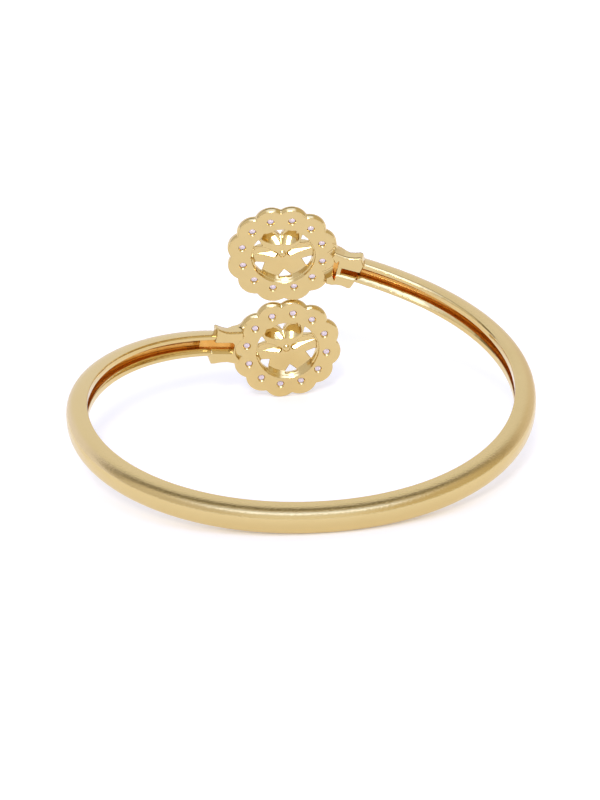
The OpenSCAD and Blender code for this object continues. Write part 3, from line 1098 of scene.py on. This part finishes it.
# A small lamp over the wrist opening, turned to the flowers. It only shows in their polish.
LAMP_POWER = 0.0011
LAMP_SIZE = 0.012
LAMP_PLACE = (-2.0, 2.8, 34.8)
LAMP_TARGET = (-0.3, 25.3, 4.0)
LAMP_SPREAD = 60.0


def paint_studio():
    world = bpy.data.worlds.new("studio")
    bpy.context.scene.world = world
    finish = Finish(world)
    way = finish.node("TexCoord", output="Generated")
    tip = math.radians(REST_TIP)
    x, y, z = [finish.node("SeparateXYZ", inputs={0: way}, output=axis) for axis in "XYZ"]
    back = math.cos(tip) * y + math.sin(tip) * z
    up = math.cos(tip) * z - math.sin(tip) * y
    round_x = finish.node("Math", {"operation": "ARCTAN2"}, {0: up, 1: back}) / math.pi
    middle = finish.node("ValToRGB", {"stops": MIDDLE_STOPS}, {"Fac": round_x})
    left = finish.node("ValToRGB", {"stops": LEFT_STOPS}, {"Fac": round_x})
    right = finish.node("ValToRGB", {"stops": RIGHT_STOPS}, {"Fac": round_x})
    sides = finish.mix(finish.node("Clamp", inputs={"Value": x * SIDE_BLEND + 0.5}), left, right)
    off_middle = finish.node("Math", {"operation": "ABSOLUTE"}, {0: x})
    edge = finish.node("Clamp", inputs={"Value": (off_middle - SOFTBOX_HALF) / SOFTBOX_FADE})
    finish.feed(finish.tree.nodes["Background"].inputs["Color"], finish.mix(edge, middle, sides))


def hang_key():
    key = bpy.data.lights.new("key", "SUN")
    key.energy = KEY_STRENGTH
    key.angle = math.radians(KEY_WIDTH)
    lamp = bpy.data.objects.new("key", key)
    lamp.rotation_euler = (math.radians(90 - KEY_RISE), 0, math.radians(KEY_ASIDE))
    lamp.visible_glossy = False
    show(lamp)


def hang_lamp():
    card = bpy.data.lights.new("card", "AREA")
    card.energy = LAMP_POWER
    card.size = LAMP_SIZE
    card.spread = math.radians(LAMP_SPREAD)
    lamp = bpy.data.objects.new("card", card)
    place, target = [Vector(placed(np.array(p), AT_REST)) for p in (LAMP_PLACE, LAMP_TARGET)]
    lamp.location = place
    lamp.rotation_mode = "QUATERNION"
    lamp.rotation_quaternion = (target - place).to_track_quat("-Z", "Y")
    lamp.visible_camera = False
    lamp.visible_diffuse = False
    lamp.visible_transmission = False
    show(lamp)


# Camera, from the fit of the cuff to the photograph
CAMERA_DISTANCE = 518.375
CAMERA_RISE = 33.929
CAMERA_ASIDE = 5.265
IMAGE_LONG = 800
FOCAL_PIXELS = 3805.682
SENSOR = 36.0
NEAREST = 0.01
FARTHEST = 20.0
CENTRE_RIGHT = 1.018
CENTRE_DOWN = 1.826


def set_camera():
    aside = math.radians(CAMERA_ASIDE)
    rise = math.radians(CAMERA_RISE)
    right = np.array([math.cos(aside), -math.sin(aside), 0])
    level = np.array([math.sin(aside), math.cos(aside), 0])
    up = level * math.sin(rise) + np.array([0, 0, math.cos(rise)])
    ahead = level * math.cos(rise) - np.array([0, 0, math.sin(rise)])
    own = np.eye(4)
    own[:3, 0] = right
    own[:3, 1] = up
    own[:3, 2] = -ahead
    own[:3, 3] = -CAMERA_DISTANCE * ahead
    data = bpy.data.cameras.new("camera")
    data.sensor_width = SENSOR
    data.lens = FOCAL_PIXELS / IMAGE_LONG * SENSOR
    data.shift_x = -CENTRE_RIGHT / IMAGE_LONG
    data.shift_y = CENTRE_DOWN / IMAGE_LONG
    data.clip_start = NEAREST
    data.clip_end = FARTHEST
    camera = bpy.data.objects.new("camera", data)
    place, turn, _ = (AT_REST @ Matrix(own.tolist())).decompose()
    camera.location = place
    camera.rotation_mode = "QUATERNION"
    camera.rotation_quaternion = turn
    show(camera)
    bpy.context.scene.camera = camera


lay_band()
for side in SIDES:
    lay_flower(side)
finish_petals_and_stones()
lay_floor()
paint_studio()
hang_key()
hang_lamp()
set_camera()
bpy.context.scene.view_settings.view_transform = "Standard"
